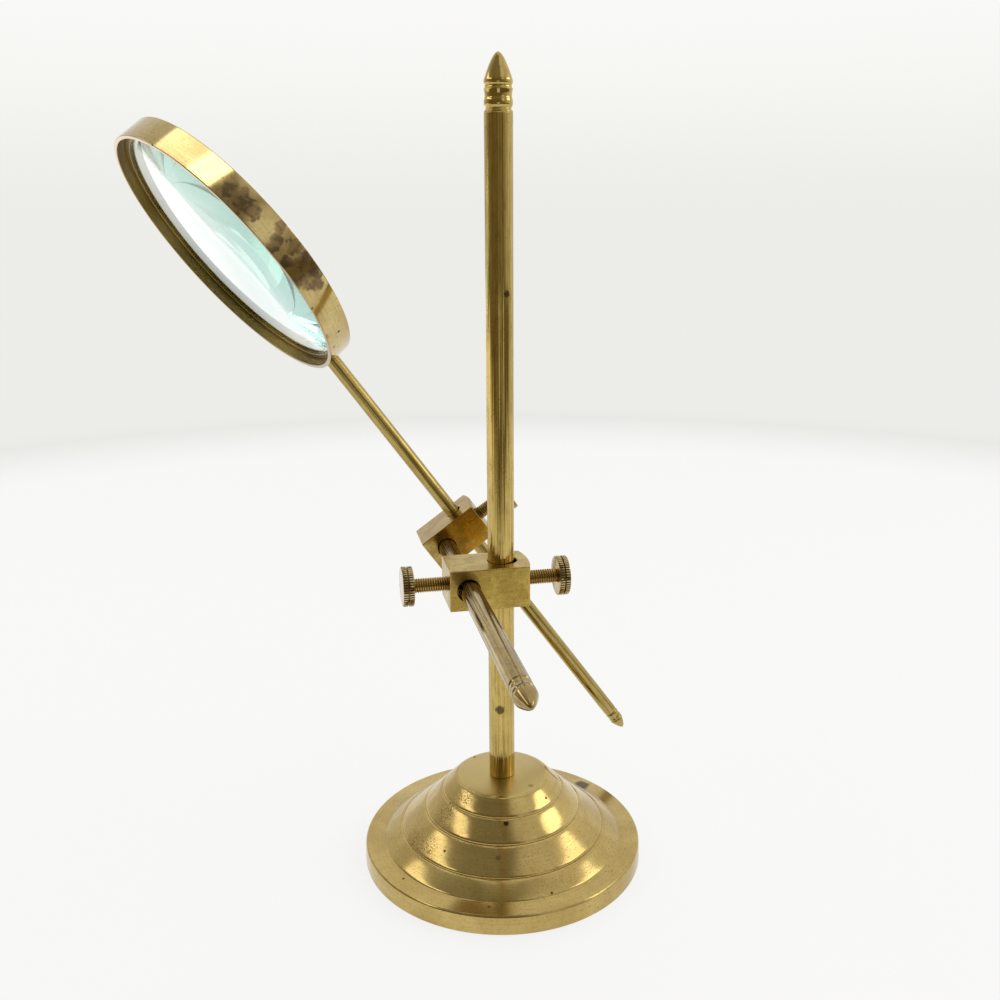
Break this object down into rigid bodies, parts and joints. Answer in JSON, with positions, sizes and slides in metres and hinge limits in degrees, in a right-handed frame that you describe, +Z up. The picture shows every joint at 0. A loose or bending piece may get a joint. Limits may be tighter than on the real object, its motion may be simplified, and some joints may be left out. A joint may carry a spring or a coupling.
{
  "type": "magnifying glass on stand",
  "caption": "Brass magnifying glass on a rod, held by sliding clamps and thumbscrews on an upright post with a round weighted base.",
  "frame": {"origin": "on the table under the post, at the middle of the felt's underside", "axes": "+Z up along the post; +X to the right and +Y away from the viewer in the reference view"},
  "size_m": [0.1589, 0.141, 0.2348],
  "materials": {
    "base_brass": "turned and polished, aged to a warm yellow with brown pits",
    "post_brass": "drawn rod, polished, with brown tarnish streaks",
    "clamp_brass": "milled satin faces",
    "cross_rod_brass": "drawn rod, worn and browned along its length",
    "lens_rod_brass": "drawn rod, olive tarnish in streaks",
    "thread_brass": "cut thread, dull in the roots",
    "knob_brass": "bright faces, ribbed edge dark in the grooves",
    "rim_brass": "polished band with brown and purple tarnish",
    "ring_brass": "dull olive brass inside the rim",
    "nut_steel": "plain zinc-plated nut",
    "felt": "dark green felt",
    "lens_glass": "clear, polished, faint green edge"
  },
  "bodies": {
    "base": {"base": "base_brass", "base_felt": "felt"},
    "post": {"post": "post_brass", "post_washer": "clamp_brass", "post_nut": "nut_steel"},
    "post_clamp": {"post_clamp": "clamp_brass"},
    "post_screw_stud": {"post_screw_stud": "thread_brass"},
    "post_screw_knob": {"post_screw_knob": "knob_brass"},
    "rod_screw_stud": {"rod_screw_stud": "thread_brass"},
    "rod_screw_knob": {"rod_screw_knob": "knob_brass"},
    "cross_rod": {"cross_rod": "cross_rod_brass"},
    "head_clamp": {"head_clamp": "clamp_brass"},
    "head_screw_stud": {"head_screw_stud": "thread_brass"},
    "head_screw_knob": {"head_screw_knob": "knob_brass"},
    "lens_rod": {"lens_rod": "lens_rod_brass"},
    "lens_head": {"lens_rim": "rim_brass", "retaining_ring": "ring_brass", "lens": "lens_glass"}
  },
  "joints": [
    {"name": "post_swivel", "type": "hinge", "parent": "base", "child": "post", "pos_m": [0, 0, 0.0265], "axis": [0, 0, 1], "continuous": true},
    {"name": "clamp_height", "type": "slide", "parent": "post", "child": "post_clamp", "axis": [0, 0, 1], "range_m": [-0.013, 0.12]},
    {"name": "cross_rod_slide", "type": "slide", "parent": "post_clamp", "child": "cross_rod", "axis": [0.284, -0.9588, 0], "range_m": [-0.065, 0.025]},
    {"name": "lens_arm_tilt", "type": "hinge", "parent": "cross_rod", "child": "head_clamp", "pos_m": [-0.02189, 0.03659, 0.08985], "axis": [0.284, -0.9588, 0], "range_deg": [-14, 84]},
    {"name": "lens_rod_slide", "type": "slide", "parent": "head_clamp", "child": "lens_rod", "axis": [0.5595, 0.1657, -0.8121], "range_m": [-0.08, 0.018]},
    {"name": "lens_turn", "type": "hinge", "parent": "lens_rod", "child": "lens_head", "pos_m": [-0.05419, 0.02702, 0.15086], "axis": [-0.5595, -0.1657, 0.8121], "continuous": true},
    {"name": "post_screw_travel", "type": "slide", "parent": "post_clamp", "child": "post_screw_stud", "axis": [0.9588, 0.284, 0], "range_m": [0, 0.0014]},
    {"name": "post_screw_turn", "type": "hinge", "parent": "post_screw_stud", "child": "post_screw_knob", "pos_m": [0, 0, 0.08985], "axis": [0.9588, 0.284, 0], "range_deg": [0, 720]},
    {"name": "rod_screw_travel", "type": "slide", "parent": "post_clamp", "child": "rod_screw_stud", "axis": [-0.9588, -0.284, 0], "range_m": [0, 0.0014]},
    {"name": "rod_screw_turn", "type": "hinge", "parent": "rod_screw_stud", "child": "rod_screw_knob", "pos_m": [-0.01016, -0.00301, 0.08985], "axis": [-0.9588, -0.284, 0], "range_deg": [0, 720]},
    {"name": "head_screw_travel", "type": "slide", "parent": "head_clamp", "child": "head_screw_stud", "axis": [0.7786, 0.2306, 0.5835], "range_m": [0, 0.0014]},
    {"name": "head_screw_turn", "type": "hinge", "parent": "head_screw_stud", "child": "head_screw_knob", "pos_m": [-0.01547, 0.03849, 0.09466], "axis": [0.7786, 0.2306, 0.5835], "range_deg": [0, 720]}
  ],
  "couplings": [
    {"joint": "post_screw_turn", "follows": "post_screw_travel", "rad_per_m": 8976},
    {"joint": "rod_screw_turn", "follows": "rod_screw_travel", "rad_per_m": 8976},
    {"joint": "head_screw_turn", "follows": "head_screw_travel", "rad_per_m": 8976}
  ]
}
